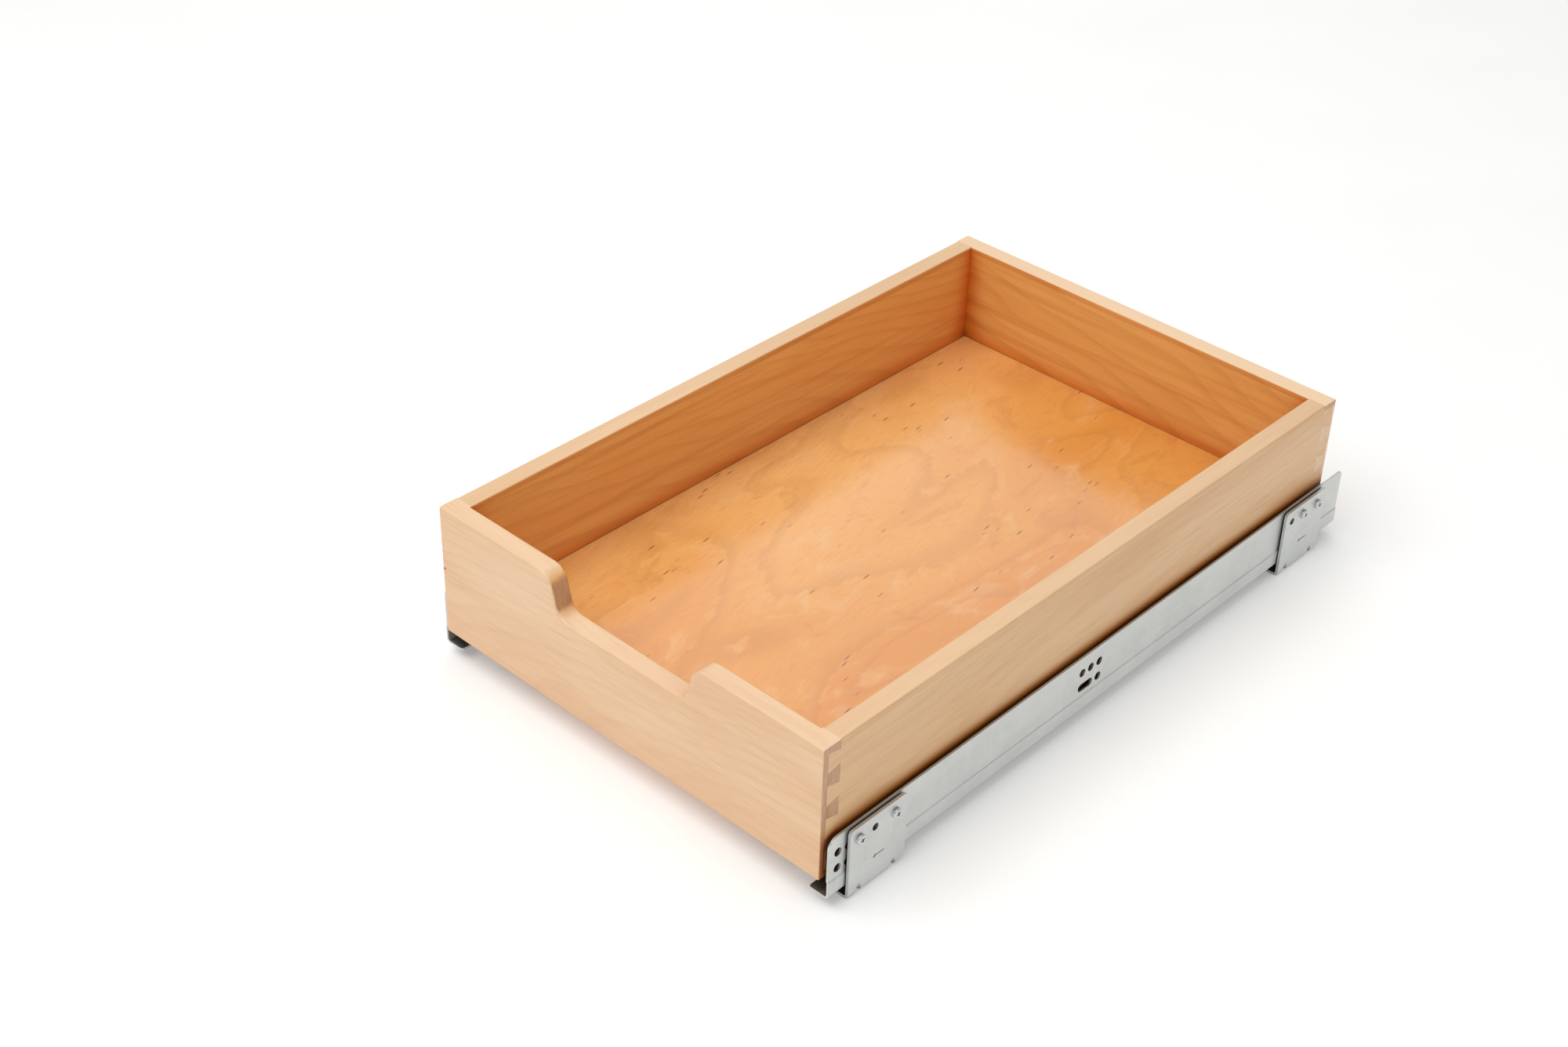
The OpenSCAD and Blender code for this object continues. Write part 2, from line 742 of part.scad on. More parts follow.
// ---- soft-close unit -------------------------------------------------------------------------

module damper_housing(side) color(grey_plastic) on_side(side) {
    cover_v = catch_v + catch_l + 12;
    housing_l = housing_v[1] - housing_v[0];
    translate([housing_u, housing_v[0], rail_t]) {
        difference() {
            cube([housing_w, housing_l, housing_h]);
            translate([housing_t, housing_end_t, housing_t])
                cube([housing_w - 2 * housing_t, housing_l - 2 * housing_end_t, housing_h]);
        }
        translate([0, cover_v - housing_v[0], housing_h - housing_t])
            cube([housing_w, housing_v[1] - cover_v, housing_t]);
    }
}

// Blind cylinder with a hole for the rod in its front end.
module damper_cylinder(side) color(natural_plastic) on_side(side)
    translate([damper_u, 0, damper_h]) difference() {
        rod_y(cylinder_v[0], cylinder_v[1], cylinder_r);
        rod_y(cylinder_v[0] + cylinder_end_t, cylinder_v[1] - cylinder_end_t, cylinder_bore_r);
        rod_y(cylinder_v[0] - 1, cylinder_v[0] + cylinder_end_t + 1, rod_r + slip);
    }

// Rod from the catch into the cylinder, with its piston.
module damper_rod(side) color(bright_steel) on_side(side)
    translate([damper_u, 0, damper_h]) {
        piston_l = 6;
        piston_v = cylinder_v[0] + cylinder_end_t + catch_travel + 4;
        rod_y(catch_v + catch_l, piston_v + 1, rod_r);
        rod_y(piston_v, piston_v + piston_l, cylinder_bore_r - slip);
    }

// Tension spring from the catch to the housing's rear wall. The section is drawn long round the
// coil, so that the sloping wire comes out round.
module closing_spring(side) color(bright_steel) on_side(side) {
    from = catch_v + catch_l + spring_gap;
    to = housing_v[1] - housing_end_t - spring_gap;
    steps_per_turn = 10;
    slope = (to - from) / spring_turns / (2 * PI * spring_r);
    translate([spring_u, to, damper_h]) rotate([90, 0, 0])
        linear_extrude(to - from, twist = 360 * spring_turns,
                       slices = steps_per_turn * spring_turns, $fn = 6)
            translate([spring_r, 0]) scale([1, 1 / slope]) circle(wire_r, $fn = 6);
}

// Sliding block with a fork on its far side that meets the drawer rail's tongue.
module catch(side) color(orange_plastic) on_side(side) {
    room = 0.3;
    tongue_gap = 0.5;
    prong = 6;
    fork_u = ledge_u - rail_t + tongue_w + tongue_gap;
    fork_w = housing_u + housing_w - housing_t - room - fork_u;
    low = rail_t + housing_t + room;
    block_h = rail_t + housing_h + 1 - low;
    translate([housing_u + housing_t + room, catch_v, low])
        cube([housing_w - 2 * (housing_t + room), catch_l, block_h]);
    for (v = [catch_v, catch_v + catch_l - prong])
        translate([fork_u, v, low]) cube([fork_w, prong, block_h + prong]);
}

// ---- assembly --------------------------------------------------------------------------------

drawer_front();
drawer_back();
drawer_side(LEFT);  // drawer_side_left
drawer_side(RIGHT);  // drawer_side_right
drawer_bottom();
top_band_side(LEFT);  // top_band_left
top_band_side(RIGHT);  // top_band_right
top_band_back();
cabinet_rail(LEFT);  // cabinet_rail_left
cabinet_rail(RIGHT);  // cabinet_rail_right
bracket(LEFT, bracket_front_v);  // bracket_front_left
bracket(RIGHT, bracket_front_v);  // bracket_front_right
bracket(LEFT, bracket_rear_v);  // bracket_rear_left
bracket(RIGHT, bracket_rear_v);  // bracket_rear_right
bracket_screws(LEFT);  // bracket_screws_left
bracket_screws(RIGHT);  // bracket_screws_right
middle_rail(LEFT);  // middle_rail_left
middle_rail(RIGHT);  // middle_rail_right
drawer_rail(LEFT);  // drawer_rail_left
drawer_rail(RIGHT);  // drawer_rail_right
in_lower_track(LEFT) cage(natural_plastic);  // lower_cage_left
in_lower_track(RIGHT) cage(natural_plastic);  // lower_cage_right
in_upper_track(LEFT) cage(natural_plastic);  // upper_cage_left
in_upper_track(RIGHT) cage(natural_plastic);  // upper_cage_right
in_lower_track(LEFT) rollers();  // lower_rollers_left
in_lower_track(RIGHT) rollers();  // lower_rollers_right
in_upper_track(LEFT) rollers();  // upper_rollers_left
in_upper_track(RIGHT) rollers();  // upper_rollers_right
clip_body(LEFT);  // clip_body_left
clip_body(RIGHT);  // clip_body_right
release_lever(LEFT);  // release_lever_left
release_lever(RIGHT);  // release_lever_right
height_wheel(LEFT);  // height_wheel_left
height_wheel(RIGHT);  // height_wheel_right
clip_screws(LEFT);  // clip_screws_left
clip_screws(RIGHT);  // clip_screws_right
damper_housing(LEFT);  // damper_housing_left
damper_housing(RIGHT);  // damper_housing_right
damper_cylinder(LEFT);  // damper_cylinder_left
damper_cylinder(RIGHT);  // damper_cylinder_right
damper_rod(LEFT);  // damper_rod_left
damper_rod(RIGHT);  // damper_rod_right
catch(LEFT);  // catch_left
catch(RIGHT);  // catch_right
closing_spring(LEFT);  // closing_spring_left
closing_spring(RIGHT);  // closing_spring_right
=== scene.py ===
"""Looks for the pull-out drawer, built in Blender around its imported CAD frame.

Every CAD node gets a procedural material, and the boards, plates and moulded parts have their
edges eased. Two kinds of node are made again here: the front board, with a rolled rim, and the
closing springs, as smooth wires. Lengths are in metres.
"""

import math

import bmesh
import bpy
from mathutils import Matrix, Vector


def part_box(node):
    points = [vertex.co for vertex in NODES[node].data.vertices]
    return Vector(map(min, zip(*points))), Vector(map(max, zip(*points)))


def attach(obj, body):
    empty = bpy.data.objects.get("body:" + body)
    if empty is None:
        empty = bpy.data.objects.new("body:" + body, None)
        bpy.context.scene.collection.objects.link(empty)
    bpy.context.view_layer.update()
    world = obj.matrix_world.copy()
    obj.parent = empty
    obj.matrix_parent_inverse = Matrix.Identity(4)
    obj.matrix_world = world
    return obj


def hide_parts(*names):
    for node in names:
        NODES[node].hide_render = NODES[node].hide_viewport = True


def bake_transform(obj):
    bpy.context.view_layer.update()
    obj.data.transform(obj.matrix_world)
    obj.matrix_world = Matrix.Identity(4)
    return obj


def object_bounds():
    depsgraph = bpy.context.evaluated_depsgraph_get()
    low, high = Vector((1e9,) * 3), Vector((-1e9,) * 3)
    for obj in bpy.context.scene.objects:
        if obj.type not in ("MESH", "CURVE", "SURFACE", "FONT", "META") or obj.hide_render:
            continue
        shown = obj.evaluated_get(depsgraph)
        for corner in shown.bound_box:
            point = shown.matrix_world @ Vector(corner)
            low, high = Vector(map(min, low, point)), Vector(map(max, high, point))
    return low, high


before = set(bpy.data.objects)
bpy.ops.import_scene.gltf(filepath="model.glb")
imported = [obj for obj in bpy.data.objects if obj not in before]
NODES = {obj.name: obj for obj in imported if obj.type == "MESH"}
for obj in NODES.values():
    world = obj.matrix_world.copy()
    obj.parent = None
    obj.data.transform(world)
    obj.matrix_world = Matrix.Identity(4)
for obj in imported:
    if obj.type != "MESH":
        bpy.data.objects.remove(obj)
cad_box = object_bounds()

SIDES = ("left", "right")
LOW, HIGH = (Vector(corner) for corner in cad_box)
CENTRE = (LOW + HIGH) / 2

# Camera: it looks at a point near the middle of the object, from its front right.
VIEW_OFFSET = Vector((-0.0608, -0.0372, 0.0187))
VIEW_DISTANCE = 1.592
VIEW_AZIMUTH = math.radians(41.73)
VIEW_ELEVATION = math.radians(34.17)
VIEW_ROLL = math.radians(2.15)
SENSOR_MM = 36
LENS_MM = 52.84
LENS_SHIFT = (-0.0184, -0.0265)

# Studio: softboxes face the object, each with its azimuth and elevation in degrees, its distance
# and its power in watts.
SOFTBOXES = {"key": (-20, 60, 2.2, 24), "back": (216, 48, 2.4, 8), "fill": (80, 30, 2.4, 6)}
SOFTBOX_SIZE = 1.6
WORLD_LIGHT = 0.5
FLOOR_SIZE = 12.0
FLOOR_GAP = 0.0002
FLOOR_GLOW = 0.22

# Width of the eased edges, and the smallest angle between faces that counts as an edge.
BOARD_EDGE = 0.00012
SHEET_EDGE = 0.0003
PLASTIC_EDGE = 0.0004
EDGE_STEPS = 2
EDGE_ANGLE = math.radians(35)

# Points closer than this are one, and faces at less than this angle lie in one plane.
WELD = 1e-6
FLAT_ANGLE = math.radians(0.5)

# Scoop in the front's top edge, as the frame has it, and the radius of its rolled rim.
SCOOP_DEPTH = 0.0295
SCOOP_HALF_W = 0.0558
SCOOP_LEAN = math.radians(15)
SCOOP_TOP_R = 0.012
SCOOP_LOW_R = 0.010
RIM_R = 0.0019
RIM_STEPS = 4
CORNER_R = 0.0005
CORNER_STEPS = 2
SHARP_R = 10 * WELD
CREASE_ANGLE = math.radians(30)

# Closing spring: the wire, its turns, those of them that lie closed at each end, and their pitch.
WIRE_R = 0.00035
COIL_TURNS = 26
CLOSED_TURNS = 2
CLOSED_PITCH = 2.2 * WIRE_R
COIL_STEPS = 20

# The side boards are a little darker than the front, and the bands' faces that look into the box
# get a darker tint, which is painted shade and bounce light.
FRONT_TINT = "#f9f2ee"
SIDE_TINT = "#eee2cf"
BAND_SHADE_TINT = "#f4cd93"

# Depth of the trunk's pith below a maple board, and how far it leans against the board's length.
PITH_DEPTH = 0.05
RING_LEAN = 0.12

# The veneer's grain is cut a little off the depth of the drawer.
VENEER_TURN = math.radians(-7)

# Under 1, so that the plating keeps some of its own grey beside the wood that it mirrors.
METAL = 0.6


# ---- node trees ------------------------------------------------------------------------------

def colour(code):
    """Linear colour of a "#rrggbb" display colour."""
    parts = [int(code[i:i + 2], 16) / 255 for i in (1, 3, 5)]
    return tuple(((p + 0.055) / 1.055) ** 2.4 if p > 0.04 else p / 12.92 for p in parts) + (1.0,)


class Shader:
    """A material's node tree. Each method adds a node and returns its output socket."""

    def __init__(self, name):
        self.material = bpy.data.materials.new(name)
        self.material.use_nodes = True
        self.tree = self.material.node_tree
        self.surface = self.tree.nodes["Principled BSDF"]

    def feed(self, socket, value):
        if isinstance(value, bpy.types.NodeSocket):
            self.tree.links.new(value, socket)
        else:
            socket.default_value = value

    def add(self, kind, inputs, output=0, **settings):
        node = self.tree.nodes.new("ShaderNode" + kind)
        for name, value in settings.items():
            setattr(node, name, value)
        for name, value in inputs.items():
            self.feed(node.inputs[name], value)
        return node.outputs[output]

    def position(self):
        return self.add("TexCoord", {}, "Object")

    def normal(self):
        return self.add("TexCoord", {}, "Normal")

    def split(self, vector):
        x = self.add("SeparateXYZ", {0: vector})
        return x.node.outputs[:3]

    def join(self, x, y, z):
        return self.add("CombineXYZ", {0: x, 1: y, 2: z})

    def math(self, operation, a, b=0.0, c=0.0):
        return self.add("Math", {0: a, 1: b, 2: c}, operation=operation)

    def dot(self, a, b):
        return self.add("VectorMath", {0: a, 1: b}, "Value", operation="DOT_PRODUCT")

    def scaled(self, vector, scale, shift=(0, 0, 0), turn=(0, 0, 0)):
        return self.add("Mapping", {"Vector": vector, "Scale": scale, "Location": shift,
                                    "Rotation": turn})

    def noise(self, vector, detail=2.0, roughness=0.5, distortion=0.0):
        return self.add("TexNoise", {"Vector": vector, "Scale": 1.0, "Detail": detail,
                                     "Roughness": roughness, "Distortion": distortion})

    def cells(self, vector):
        """Distance to the nearest cell's point, and that cell's random number."""
        distance = self.add("TexVoronoi", {"Vector": vector, "Scale": 1.0}, "Distance")
        return distance, self.split(distance.node.outputs["Color"])[0]

    def remap(self, value, low, high, to_low=0.0, to_high=1.0):
        return self.add("MapRange", {"Value": value, "From Min": low, "From Max": high,
                                     "To Min": to_low, "To Max": to_high},
                        interpolation_type="SMOOTHSTEP")

    def mix(self, factor, a, b, blend="MIX"):
        return self.add("Mix", {0: factor, 6: a, 7: b}, 2, data_type="RGBA", blend_type=blend)

    def bump(self, height, depth):
        return self.add("Bump", {"Height": height, "Distance": depth, "Strength": 1.0})

    def closeness(self, reach):
        """1 in corners and beside other pieces, 0 where nothing is within reach."""
        open_sky = self.add("AmbientOcclusion", {"Distance": reach}, "AO", samples=8)
        return self.math("SUBTRACT", 1.0, open_sky)

    def finish(self, **inputs):
        for name, value in inputs.items():
            self.feed(self.surface.inputs[name.replace("_", " ")], value)
        return self.material


# ---- materials -------------------------------------------------------------------------------
# Scales are in repeats per metre, and reaches and bump depths in metres. The last two numbers of
# a remap say how much of the next colour shows at its low end and at its high end.

def growth_rings(shader, trunk, pitch):
    """Dark line of each growth ring, for a trunk along X."""
    x, y, z = shader.split(trunk)
    wander = shader.noise(shader.scaled(trunk, (3.5, 10, 10)), detail=2.0)
    across = shader.math("MULTIPLY_ADD", wander, 0.09, y)
    depth = shader.math("ADD", shader.math("MULTIPLY_ADD", x, RING_LEAN, PITH_DEPTH), z)
    radius = shader.math("SQRT", shader.math("ADD", shader.math("POWER", across, 2.0),
                                             shader.math("POWER", depth, 2.0)))
    ring = shader.math("FRACT", shader.math("DIVIDE", radius, pitch))
    rise = shader.remap(ring, 0.5, 0.92)
    return shader.math("MULTIPLY", rise, shader.remap(ring, 0.92, 1.0, 1.0, 0.0))


def specks(shader, vector, share, size):
    """Marks in a random share of the cells of vector's unit grid."""
    distance, chance = shader.cells(vector)
    chosen = shader.math("LESS_THAN", chance, share)
    return shader.math("MULTIPLY", chosen, shader.remap(distance, size * 0.4, size, 1.0, 0.0))


def maple_figure(shader, trunk, rings, fibre, inner):
    """Planed maple: blotches, rings, streaks, fibres and small brown pins. The rings and streaks
    are stronger where inner is 1."""
    blotch = shader.noise(shader.scaled(trunk, (5, 22, 22)), detail=3.0)
    streak = shader.noise(shader.scaled(trunk, (3, 110, 110)), detail=3.0)
    tone = shader.mix(shader.remap(blotch, 0.3, 0.7), colour("#f1d0a9"), colour("#e8bf92"))
    ring_depth = shader.math("MULTIPLY_ADD", inner, 0.2, 0.11)
    tone = shader.mix(shader.math("MULTIPLY", rings, ring_depth), tone, colour("#cf9d6c"))
    streak_depth = shader.math("MULTIPLY_ADD", inner, 0.6, 0.12)
    streaks = shader.math("MULTIPLY", shader.remap(streak, 0.45, 0.75), streak_depth)
    tone = shader.mix(streaks, tone, colour("#d6a474"))
    tone = shader.mix(shader.remap(fibre, 0.45, 0.8, 0.0, 0.4), tone, colour("#d4a377"))
    pins = specks(shader, shader.scaled(trunk, (70, 120, 120)), 0.03, 0.13)
    return shader.mix(pins, tone, colour("#6b3a1e"))


def end_grain(shader, tone, trunk, normal, axis, tones):
    """Puts end grain on the faces across the board's grain, in lines between two tones."""
    end = shader.remap(shader.math("ABSOLUTE", shader.dot(normal, axis)), 0.75, 0.95)
    lines = shader.noise(shader.scaled(trunk, (60, 90, 900)), detail=3.0)
    return shader.mix(end, tone, shader.mix(lines, *(colour(code) for code in tones)))


def shade_corners(shader, tone):
    """Paints bounce light, a warmer tone, on wood near other wood, and paints shade in crevices.
    Also returns how much painted crevice shade there is."""
    closeness = shader.closeness(0.022)
    # Painted bounce light near other pieces.
    painted_bounce = shader.remap(closeness, 0.02, 0.5)
    tone = shader.mix(painted_bounce, tone, shader.mix(1.0, tone, colour("#eab474"), "MULTIPLY"))
    # Painted shade in crevices.
    crevice_shade = shader.remap(closeness, 0.45, 0.95, 0.0, 0.75)
    tone = shader.mix(crevice_shade, tone, shader.mix(1.0, tone, colour("#74380f"), "MULTIPLY"))
    return tone, crevice_shade


def maple(name, along, tree, tint, bounce_light_tint="#ffdc9c", painted_top_light=0.3, pitch=0.008,
          end_tones=("#d9a980", "#a57550")):
    """Lacquered maple board. along is its grain's axis, and tree places it in its trunk.

    The inner tint is painted bounce light on the faces that look into the box, which take most of
    their light from the wood round them. The top light is a painted highlight that lightens the
    top edges, pitch is the growth rings', and end_tones are the end grain's two colours.
    """
    shader = Shader(name)
    place = shader.position()
    normal = shader.normal()
    turn = (0, 0, -math.pi / 2) if along == "Y" else (0, 0, 0)
    x, y, z = shader.split(shader.scaled(place, (1, 1, 1), (0, 0, 0), turn))
    trunk = shader.scaled(shader.join(x, z, y), (1, 1, 1), tree)

    inward = shader.math("MULTIPLY", shader.dot(shader.scaled(normal, (1, 1, 0)), place), -1.0)
    inner = shader.remap(inward, 0.02, 0.06)
    fibre = shader.noise(shader.scaled(trunk, (22, 620, 620)), detail=4.0, roughness=0.6)
    rings = growth_rings(shader, shader.join(x, z, y), pitch)
    tone = maple_figure(shader, trunk, rings, fibre, inner)
    # Painted bounce light: the faces that look into the box take the inner tint.
    tint_and_bounce = shader.mix(inner, colour(tint), colour(bounce_light_tint))
    tone = shader.mix(1.0, tone, tint_and_bounce, "MULTIPLY")
    # Painted top light: the faces that look up are lightened.
    upward = shader.remap(shader.split(normal)[2], 0.5, 0.9, 0.0, painted_top_light)
    tone = shader.mix(upward, tone, colour("#ffddb5"))
    end_axis = (0, 1, 0) if along == "Y" else (1, 0, 0)
    tone = end_grain(shader, tone, trunk, normal, end_axis, end_tones)
    tone, crevice_shade = shade_corners(shader, tone)

    relief = shader.math("ADD", fibre, shader.math("MULTIPLY", rings, 0.5))
    return shader.finish(Base_Color=tone, Roughness=shader.remap(fibre, 0.3, 0.8, 0.34, 0.5),
                         Coat_Weight=shader.remap(crevice_shade, 0.0, 0.9, 0.2, 0.0),
                         Coat_Roughness=0.22,
                         Specular_IOR_Level=shader.remap(crevice_shade, 0.0, 0.9, 0.5, 0.0),
                         Normal=shader.bump(relief, 0.00008))


def veneer_marks(shader, tone, place, flecks):
    """Puts the dark flecks, and longer checks and small knots, on the veneer."""
    checks = specks(shader, shader.scaled(place, (140, 14, 0)), 0.015, 0.08)
    knots = specks(shader, shader.scaled(place, (30, 26, 0)), 0.02, 0.07)
    tone = shader.mix(shader.math("MULTIPLY", flecks, 0.95), tone, colour("#6e3613"))
    tone = shader.mix(shader.math("MULTIPLY", checks, 0.8), tone, colour("#8a4f22"))
    return shader.mix(knots, tone, colour("#6b3a1e"))


def plywood():
    """Glossy rotary-cut plywood, with painted light making it paler on the left: contour lines of
    a cloudy figure, pale curls, a fine weave and dark flecks, with a dark line where it meets the
    boards."""
    shader = Shader("plywood")
    place = shader.scaled(shader.position(), (1, 1, 0), (0.11, 0.04, 0), (0, 0, VENEER_TURN))
    cloud = shader.noise(shader.scaled(place, (8, 3.5, 1)), detail=1.5, distortion=0.5)
    curls = shader.noise(shader.scaled(place, (30, 16, 1)), detail=5.0, roughness=0.62,
                         distortion=1.2)
    weave = shader.noise(shader.scaled(place, (700, 60, 1)), detail=4.0, roughness=0.7)
    contour = shader.math("FRACT", shader.math("MULTIPLY_ADD", cloud, 8.0,
                                               shader.math("MULTIPLY", curls, 0.9)))
    line = shader.math("MULTIPLY", shader.remap(contour, 0.55, 0.9),
                       shader.remap(contour, 0.9, 1.0, 1.0, 0.0))

    # Painted light: the bottom is paler towards the left.
    painted_left_light = shader.remap(shader.split(shader.position())[0], 0.0, -0.15)
    light = shader.mix(painted_left_light, colour("#f0a94f"), colour("#fbc27a"))
    dark = shader.mix(painted_left_light, colour("#e8983a"), colour("#f5b264"))
    tone = shader.mix(shader.remap(cloud, 0.35, 0.65), light, dark)
    tone = shader.mix(shader.remap(curls, 0.5, 0.72, 0.0, 0.5), tone, colour("#f4c284"))
    tone = shader.mix(shader.remap(curls, 0.45, 0.3, 0.0, 0.3), tone, colour("#cb7c34"))
    tone = shader.mix(shader.math("MULTIPLY", line, 0.2), tone, colour("#bd752f"))
    tone = shader.mix(shader.remap(weave, 0.45, 0.75, 0.0, 0.45), tone, colour("#cf8f50"))
    flecks = specks(shader, shader.scaled(place, (420, 50, 0)), 0.07, 0.26)
    tone = veneer_marks(shader, tone, place, flecks)
    joint = shader.remap(shader.closeness(0.002), 0.2, 0.5, 0.0, 0.8)
    tone = shader.mix(joint, tone, colour("#5e2f12"))
    relief = shader.math("SUBTRACT", weave, flecks)
    return shader.finish(Base_Color=tone, Roughness=0.38, Coat_Weight=1.0,
                         Coat_Roughness=shader.remap(curls, 0.3, 0.7, 0.15, 0.21),
                         Coat_IOR=1.5, Normal=shader.bump(relief, 0.00003))


def zinc_steel(name, tint, dull, roughness):
    """Zinc-plated sheet: cloudy plating, drawing lines along Y and small dull spots.

    The faces that look up under the drawer, and the crevices, are darkened with painted shade.
    """
    shader = Shader(name)
    place = shader.position()
    cloud = shader.noise(shader.scaled(place, (60, 40, 60)), detail=4.0, roughness=0.6)
    drawn = shader.noise(shader.scaled(place, (500, 9, 500)), detail=3.0)
    wipe = shader.noise(shader.scaled(place, (30, 260, 12)), detail=2.0)
    spots = specks(shader, shader.scaled(place, (210, 210, 210)), 0.05, 0.3)
    tone = shader.mix(shader.remap(cloud, 0.3, 0.8, 0.0, 0.4), colour(tint), colour(dull))
    tone = shader.mix(shader.remap(drawn, 0.5, 0.8, 0.0, 0.15), tone, colour("#e6e9e8"))
    tone = shader.mix(shader.remap(wipe, 0.55, 0.8, 0.0, 0.15), tone, colour("#eceeed"))
    tone = shader.mix(shader.math("MULTIPLY", spots, 0.25), tone, colour("#8b9090"))
    # Painted shade: crevices, and the faces that look up under the drawer, darken.
    closeness = shader.closeness(0.03)
    crevice_shade = shader.remap(closeness, 0.45, 0.95, 0.0, 0.85)
    upward = shader.remap(shader.split(shader.normal())[2], 0.5, 0.9)
    painted_under_shade = shader.math("MULTIPLY", upward, shader.remap(closeness, 0.3, 0.6, 0.0, 0.9))
    tone = shader.mix(shader.math("MAXIMUM", crevice_shade, painted_under_shade), tone, colour("#2d2926"))
    rough = shader.math("MULTIPLY_ADD", cloud, 0.16, roughness - 0.08)
    relief = shader.math("ADD", drawn, cloud)
    return shader.finish(Base_Color=tone, Metallic=METAL, Roughness=rough,
                         Normal=shader.bump(relief, 0.00003))


def plastic(name, tint, worn, roughness, glow=0.0):
    """Moulded plastic: fine spark-eroded grain, flow marks and rubbed patches."""
    shader = Shader(name)
    place = shader.position()
    grain = shader.noise(shader.scaled(place, (2200, 2200, 2200)), detail=2.0)
    flow = shader.noise(shader.scaled(place, (60, 25, 60)), detail=3.0, distortion=1.0)
    tone = shader.mix(shader.remap(flow, 0.35, 0.75), colour(tint), colour(worn))
    tone = shader.mix(shader.remap(grain, 0.55, 0.8, 0.0, 0.15), tone, colour(worn))
    rough = shader.math("MULTIPLY_ADD", flow, 0.2, roughness - 0.1)
    return shader.finish(Base_Color=tone, Roughness=rough, Subsurface_Weight=glow,
                         Subsurface_Scale=0.002, Normal=shader.bump(grain, 0.00003))


def floor_paper():
    """Pale studio floor with a faint mottle."""
    shader = Shader("floor_paper")
    mottle = shader.noise(shader.scaled(shader.position(), (9, 9, 9)), detail=4.0)
    tone = shader.mix(mottle, colour("#f6f6f5"), colour("#f1f1f0"))
    return shader.finish(Base_Color=tone, Roughness=0.8, Emission_Color=tone,
                         Emission_Strength=FLOOR_GLOW)


# ---- pieces ----------------------------------------------------------------------------------

def ease_edges(piece, width):
    """Joins the piece's loose faces and rolls its sharp edges over, by modifiers."""
    weld = piece.modifiers.new("weld", "WELD")
    weld.merge_threshold = WELD
    plain = piece.modifiers.new("plain", "DECIMATE")
    plain.decimate_type = "DISSOLVE"
    plain.angle_limit = FLAT_ANGLE
    bevel = piece.modifiers.new("bevel", "BEVEL")
    bevel.width = width
    bevel.segments = EDGE_STEPS
    bevel.limit_method = "ANGLE"
    bevel.angle_limit = EDGE_ANGLE
    bevel.harden_normals = False
    piece.modifiers.new("shade", "WEIGHTED_NORMAL").keep_sharp = False


def dress(names, material, edge=0.0):
    """Gives CAD nodes a material and, where edge isn't zero, eased edges."""
    for name in names:
        piece = NODES[name]
        piece.data.materials.clear()
        piece.data.materials.append(material)
        if edge:
            ease_edges(piece, edge)


def both(*names):
    """The left and right node of each name."""
    return [f"{name}_{side}" for name in names for side in SIDES]


def dress_box():
    front_wood = maple("maple_front", "X", (0.31, 0.04, 0.02), FRONT_TINT, painted_top_light=0.3,
                       pitch=0.005)
    dress(["drawer_front"], front_wood)
    front_board(front_wood)
    dress(["drawer_back"], maple("maple_back", "X", (1.7, 0.2, 0.03), SIDE_TINT, "#ffe2a4",
                                 end_tones=("#f3d6b2", "#cf9f76")), BOARD_EDGE)
    dress(["drawer_side_left"], maple("maple_side_left", "Y", (2.9, 0.31, 0.02), SIDE_TINT),
          BOARD_EDGE)
    dress(["drawer_side_right"], maple("maple_side_right", "Y", (4.3, 0.12, 0.04), SIDE_TINT),
          BOARD_EDGE)
    dress(["drawer_bottom"], plywood())
    # The bands' inward faces take painted shade and bounce light in their darker tint.
    dress(["top_band_left"],
          maple("maple_band_left", "Y", (6.1, 0.5, 0.1), SIDE_TINT, BAND_SHADE_TINT, painted_top_light=0.35))
    dress(["top_band_right"],
          maple("maple_band_right", "Y", (7.7, 0.6, 0.1), SIDE_TINT, BAND_SHADE_TINT))
    dress(["top_band_back"],
          maple("maple_band_back", "X", (8.9, 0.7, 0.1), SIDE_TINT, BAND_SHADE_TINT, painted_top_light=0.75))


def dress_runners():
    zinc = zinc_steel("zinc_plated_steel", "#d3d5d2", "#b9bcba", 0.38)
    bright = zinc_steel("bright_steel", "#d4d6d5", "#b6b9b9", 0.25)
    dress(both("cabinet_rail", "bracket_front", "bracket_rear"), zinc, SHEET_EDGE)
    dress(both("middle_rail", "drawer_rail"), zinc)
    dress(both("bracket_screws", "clip_screws", "lower_rollers", "upper_rollers", "damper_rod"),
          bright)
    dress(both("lower_cage", "upper_cage", "damper_cylinder"),
          plastic("natural_plastic", "#ece7da", "#dcd5c4", 0.45, 0.2))
    dress(both("clip_body"), plastic("dark_plastic", "#35373a", "#4b4e51", 0.5), PLASTIC_EDGE)
    dress(both("height_wheel", "damper_housing"),
          plastic("grey_plastic", "#7e8285", "#93979a", 0.5))
    dress(both("release_lever", "catch"), plastic("orange_plastic", "#d2641f", "#de8043", 0.45),
          PLASTIC_EDGE)
    return bright


def add_piece(name, mesh, material):
    mesh.materials.append(material)
    piece = bpy.data.objects.new(name, mesh)
    bpy.context.scene.collection.objects.link(piece)
    return piece


def loft(name, rings, material):
    """Smooth closed mesh through rings that have the same number of points."""
    size = len(rings[0])
    faces = [tuple(range(size - 1, -1, -1))]
    for i in range(len(rings) - 1):
        for k in range(size):
            a, b = i * size + k, i * size + (k + 1) % size
            faces.append((a, b, b + size, a + size))
    faces.append(tuple(range((len(rings) - 1) * size, len(rings) * size)))
    mesh = bpy.data.meshes.new(name)
    mesh.from_pydata([point for ring in rings for point in ring], [], faces)
    mesh.polygons.foreach_set("use_smooth", [True] * len(faces))
    return add_piece(name, mesh, material)


def arc(centre, radius, start, end, steps=10):
    """Points along an arc, between two angles, each with its direction from the centre."""
    turns = [start + (end - start) * i / steps for i in range(steps + 1)]
    rays = [Vector((math.cos(turn), math.sin(turn))) for turn in turns]
    return [(centre + radius * ray, ray) for ray in rays]


